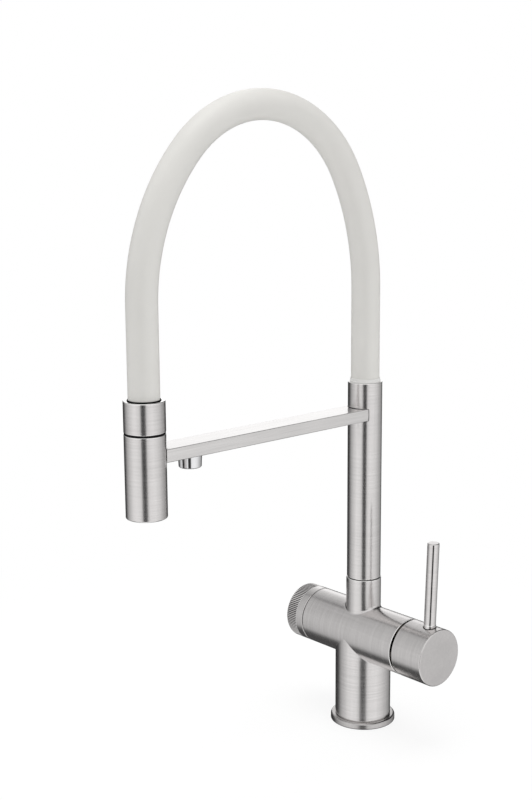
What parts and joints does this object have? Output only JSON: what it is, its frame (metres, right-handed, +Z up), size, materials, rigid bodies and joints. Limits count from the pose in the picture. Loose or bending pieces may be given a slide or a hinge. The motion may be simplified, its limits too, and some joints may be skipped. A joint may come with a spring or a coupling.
{
  "type": "kitchen mixer tap",
  "caption": "Deck-mounted kitchen mixer tap with a side lever, an arched hose spout with a pull-off spray, and a filtered-water outlet under its arm.",
  "frame": {"origin": "centre of the flange's underside, where the tap stands on the worktop", "axes": "+Z up along the column, +X along the barrel towards the lever, -Y from the column towards the spray head"},
  "size_m": [0.1553, 0.2653, 0.5238],
  "materials": {
    "brushed_steel": "fine brushed",
    "polished_chrome": "polished",
    "brass": "machined",
    "plain_steel": "machined",
    "black_rubber": "matt",
    "pale_silicone": "smooth matt silicone",
    "inner_hose": "smooth",
    "grey_plastic": "moulded",
    "nozzle_silicone": "smooth"
  },
  "bodies": {
    "base": {"base_flange": "brushed_steel", "base_seal": "black_rubber", "mixer_body": "brushed_steel", "riser_seal": "black_rubber", "mixer_cartridge": "grey_plastic", "cartridge_seals": "black_rubber", "cartridge_nut": "brass", "filter_valve": "brass", "filter_valve_seal": "black_rubber", "neck_ring": "black_rubber", "neck_screw": "plain_steel"},
    "turret": {"cartridge_turret": "grey_plastic", "pivot_pin": "plain_steel"},
    "lever": {"lever_stem": "plain_steel", "lever_cap": "brushed_steel", "lever_rod": "brushed_steel", "stem_grub_screw": "plain_steel"},
    "knob": {"filter_knob": "brushed_steel", "knob_hub": "grey_plastic", "valve_spindle": "brass", "knob_screw": "plain_steel"},
    "spout": {"column_tube": "brushed_steel", "column_spigot": "brass", "swivel_seals": "black_rubber", "filter_riser": "plain_steel", "hose_nipple": "brass", "hose_ring": "pale_silicone", "nipple_sleeve": "plain_steel", "spout_hose": "pale_silicone", "water_hose": "inner_hose", "dock_arm": "brushed_steel", "dock_magnet": "plain_steel", "filter_outlet": "polished_chrome", "outlet_screen": "grey_plastic"},
    "head": {"head_collar": "brushed_steel", "hose_tail": "brass", "tail_sleeve": "plain_steel", "stem_seals": "black_rubber", "shell_seal": "black_rubber"},
    "spray": {"spray_shell": "brushed_steel", "spray_core": "grey_plastic", "stem_clip": "plain_steel", "dock_ring": "plain_steel", "spray_plate": "polished_chrome", "nozzle_mat": "nozzle_silicone", "aerator": "grey_plastic"}
  },
  "joints": [
    {"name": "lever_turn", "type": "hinge", "parent": "base", "child": "turret", "pos_m": [0.034, 0, 0.078], "axis": [1, 0, 0], "range_deg": [-45, 45]},
    {"name": "lever_lift", "type": "hinge", "parent": "turret", "child": "lever", "pos_m": [0.034, 0, 0.078], "axis": [0, 1, 0], "range_deg": [0, 10]},
    {"name": "filter_turn", "type": "hinge", "parent": "base", "child": "knob", "pos_m": [-0.05, 0, 0.078], "axis": [1, 0, 0], "range_deg": [0, 90]},
    {"name": "spout_swivel", "type": "hinge", "parent": "base", "child": "spout", "pos_m": [0, 0, 0.126], "axis": [0, 0, 1], "continuous": true},
    {"name": "head_undock", "type": "slide", "parent": "spout", "child": "head", "axis": [0, -1, 0], "range_m": [0, 0.04], "deforming": ["spout_hose", "water_hose"]},
    {"name": "spray_turn", "type": "hinge", "parent": "head", "child": "spray", "pos_m": [0, -0.223, 0.27], "axis": [0, 0, 1], "continuous": true}
  ]
}
